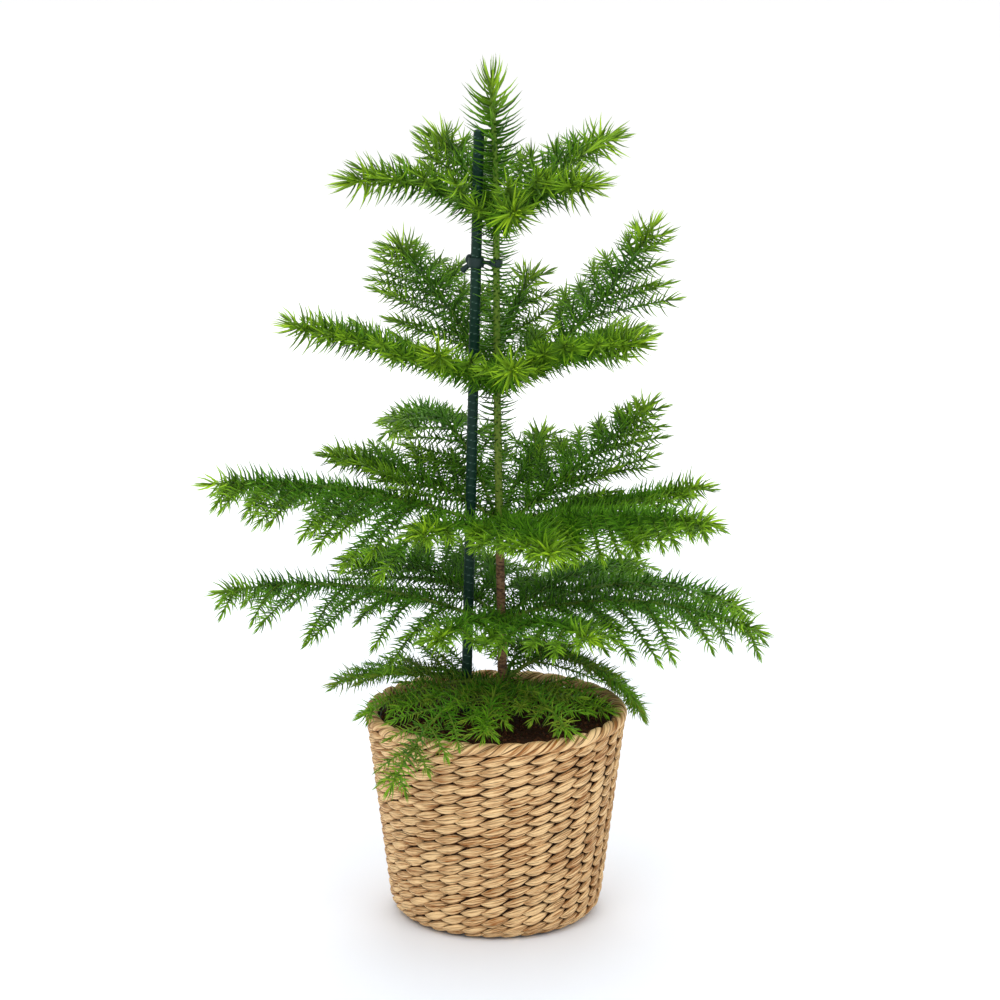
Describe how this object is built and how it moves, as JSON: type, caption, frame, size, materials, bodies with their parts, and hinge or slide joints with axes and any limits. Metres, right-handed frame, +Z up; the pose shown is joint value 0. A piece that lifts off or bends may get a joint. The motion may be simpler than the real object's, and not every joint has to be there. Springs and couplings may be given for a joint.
{
  "type": "potted norfolk island pine",
  "caption": "Young Norfolk Island pine with flat whorled branches of needles, staked and standing in soil in a round tapered woven basket.",
  "frame": {"origin": "middle of the basket's underside, on the surface that it stands on", "axes": "+Z up along the stem; -Y faces the viewer of the picture, +X is to the viewer's right"},
  "size_m": [0.3246, 0.2499, 0.4978],
  "materials": {
    "woven_fibre": "dry twisted plant fibre, light tan with brown streaks, matte",
    "liner_plastic": "thin black plastic",
    "potting_soil": "crumbly dark brown peat soil, matte",
    "bark": "rough brown bark with needle scars",
    "stem_green": "olive green young stem with green needles, satin",
    "stake_coating": "dark blue-green plastic coat with a fine raised helix",
    "clip_plastic": "dark green moulded plastic",
    "needles_top": "bright yellow-green young needles, satin",
    "needles_upper": "fresh green needles with yellow-green tips, satin",
    "needles_middle": "mid green needles, satin",
    "needles_lower": "deep green needles, satin",
    "needles_base": "deep green needles, satin"
  },
  "bodies": {
    "root": {"basket": "woven_fibre", "basket_rim": "woven_fibre", "liner": "liner_plastic", "soil": "potting_soil", "woody_stem": "bark", "leafy_stem": "stem_green", "stake": "stake_coating", "tie_clip": "clip_plastic", "top_branch_1": "needles_top", "top_branch_2": "needles_top", "top_branch_3": "needles_top", "top_branch_4": "needles_top", "top_branch_5": "needles_top", "upper_branch_1": "needles_upper", "upper_branch_2": "needles_upper", "upper_branch_3": "needles_upper", "upper_branch_4": "needles_upper", "upper_branch_5": "needles_upper", "upper_branch_6": "needles_upper", "upper_branch_7": "needles_upper", "middle_branch_1": "needles_middle", "middle_branch_2": "needles_middle", "middle_branch_3": "needles_middle", "middle_branch_4": "needles_middle", "middle_branch_5": "needles_middle", "middle_branch_6": "needles_middle", "middle_branch_7": "needles_middle", "middle_branch_8": "needles_middle", "middle_branch_9": "needles_middle", "lower_branch_1": "needles_lower", "lower_branch_2": "needles_lower", "lower_branch_3": "needles_lower", "lower_branch_4": "needles_lower", "lower_branch_5": "needles_lower", "lower_branch_6": "needles_lower", "lower_branch_7": "needles_lower", "lower_branch_8": "needles_lower", "base_branch_1": "needles_base", "base_branch_2": "needles_base", "base_branch_3": "needles_base", "base_branch_4": "needles_base", "base_branch_5": "needles_base", "base_branch_6": "needles_base", "base_branch_7": "needles_base", "base_branch_8": "needles_base"}
  },
  "joints": []
}
